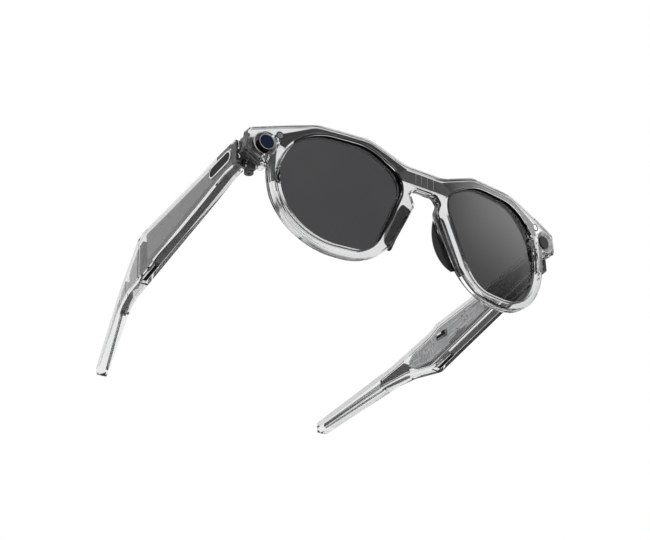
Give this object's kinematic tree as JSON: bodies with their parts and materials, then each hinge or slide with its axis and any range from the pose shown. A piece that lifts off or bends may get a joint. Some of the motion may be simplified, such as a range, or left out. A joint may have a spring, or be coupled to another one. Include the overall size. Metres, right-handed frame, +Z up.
{
  "type": "smart glasses",
  "caption": "Clear plastic smart glasses with tinted lenses, a front camera, a light module and folding temples that hold the electronics.",
  "frame": {"origin": "middle of the footprint, on the surface that the rims stand on", "axes": "+X to the wearer's left, +Y back along the temples, +Z up; the lenses face -Y"},
  "size_m": [0.1472, 0.1486, 0.0509],
  "materials": {
    "clear_plastic": "polished clear moulding",
    "lens_tint": "polished grey tinted lens",
    "black_liner": "moulded black, slightly glossy",
    "brow_grey": "dark grey moulding, fine texture",
    "bridge_grey": "mid grey moulding",
    "flex_film": "polyimide film circuit",
    "ring_metal": "polished ring",
    "camera_glass": "coated cover glass",
    "light_diffuser": "smoked light diffuser",
    "circuit_board": "solder mask over copper",
    "chip_black": "moulded chip package",
    "pad_rubber": "soft satin rubber",
    "hinge_metal": "black coated steel",
    "gold_contact": "gold plated",
    "battery_wrap": "foil pouch in grey film",
    "speaker_black": "moulded speaker box",
    "core_metal": "steel core",
    "touch_black": "gloss black"
  },
  "bodies": {
    "front": {"antennas": "bridge_grey", "boss_screws": "ring_metal", "bridge_plate": "bridge_grey", "camera_barrel": "black_liner", "camera_bezel": "ring_metal", "camera_board": "circuit_board", "camera_lens": "camera_glass", "camera_window": "camera_glass", "charging_contacts": "gold_contact", "end_blocks": "bridge_grey", "front_flex": "flex_film", "front_shell": "clear_plastic", "hinge_pins": "hinge_metal", "left_brow_insert": "brow_grey", "left_front_leaf": "hinge_metal", "left_lens": "lens_tint", "left_nose_pad": "pad_rubber", "left_rim_liner": "black_liner", "light_bezel": "ring_metal", "light_board": "circuit_board", "light_pipe": "light_diffuser", "light_window": "light_diffuser", "rear_cover": "clear_plastic", "right_brow_insert": "brow_grey", "right_front_leaf": "hinge_metal", "right_lens": "lens_tint", "right_nose_pad": "pad_rubber", "right_rim_liner": "black_liner"},
    "left_temple": {"left_battery": "battery_wrap", "left_bend_block": "black_liner", "left_board": "circuit_board", "left_bracket": "brow_grey", "left_chips": "chip_black", "left_microphone": "chip_black", "left_speaker": "speaker_black", "left_speaker_grille": "black_liner", "left_stem_core": "core_metal", "left_temple_cover": "clear_plastic", "left_temple_leaf": "hinge_metal", "left_temple_shell": "clear_plastic", "left_tray": "black_liner", "power_base": "black_liner"},
    "right_temple": {"capture_switch": "chip_black", "right_battery": "battery_wrap", "right_bend_block": "black_liner", "right_board": "circuit_board", "right_bracket": "brow_grey", "right_chips": "chip_black", "right_microphone": "chip_black", "right_speaker": "speaker_black", "right_speaker_grille": "black_liner", "right_stem_core": "core_metal", "right_temple_cover": "clear_plastic", "right_temple_leaf": "hinge_metal", "right_temple_shell": "clear_plastic", "right_tray": "black_liner", "touch_plate": "touch_black", "touch_trim": "ring_metal"},
    "capture_button": {"capture_button": "touch_black"},
    "power_switch": {"power_knob": "black_liner"}
  },
  "joints": [
    {"name": "left_temple_fold", "type": "hinge", "parent": "front", "child": "left_temple", "pos_m": [0.067, -0.05607, 0.03397], "axis": [0, 0, 1], "range_deg": [0, 75]},
    {"name": "right_temple_fold", "type": "hinge", "parent": "front", "child": "right_temple", "pos_m": [-0.067, -0.05607, 0.03397], "axis": [0, 0, -1], "range_deg": [0, 84]},
    {"name": "capture_press", "type": "slide", "parent": "right_temple", "child": "capture_button", "axis": [0, -0.1305, -0.9914], "range_m": [0, 0.0004], "stiffness_N_per_m": 1500, "springref_m": -0.0004},
    {"name": "power_slide", "type": "slide", "parent": "left_temple", "child": "power_switch", "axis": [0, 1, 0], "range_m": [0, 0.002]}
  ]
}
